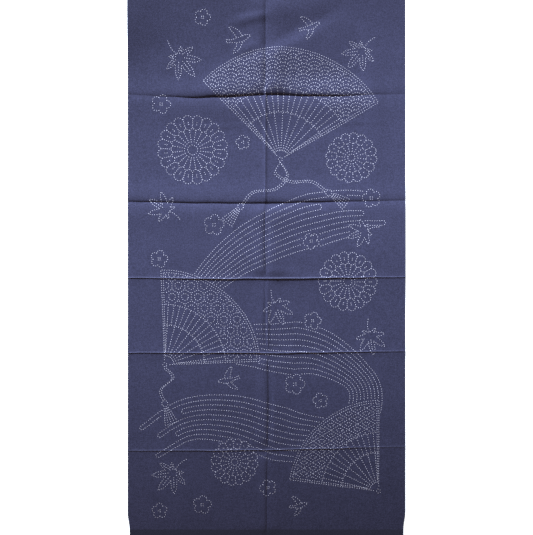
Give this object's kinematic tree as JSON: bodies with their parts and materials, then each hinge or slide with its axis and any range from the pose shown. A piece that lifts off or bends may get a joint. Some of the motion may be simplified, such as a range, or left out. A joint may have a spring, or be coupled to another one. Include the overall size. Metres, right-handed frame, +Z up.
{
  "type": "sashiko panel",
  "caption": "Sashiko panel: a cut length of indigo cotton printed with dashed guide lines for hand stitching, opened out flat with soft fold creases.",
  "frame": {"origin": "on the surface that the cloth lies on, under the middle of its outline", "axes": "+Y towards the upper selvage, +X towards the right cut edge as seen from above with that selvage at the top, +Z up out of the printed face"},
  "size_m": [0.56, 1.1, 0.0101],
  "materials": {
    "cotton": "matte plain weave, dyed indigo",
    "print": "matte white guide print on the weave"
  },
  "bodies": {
    "root": {"panel": "cotton"}
  },
  "joints": []
}
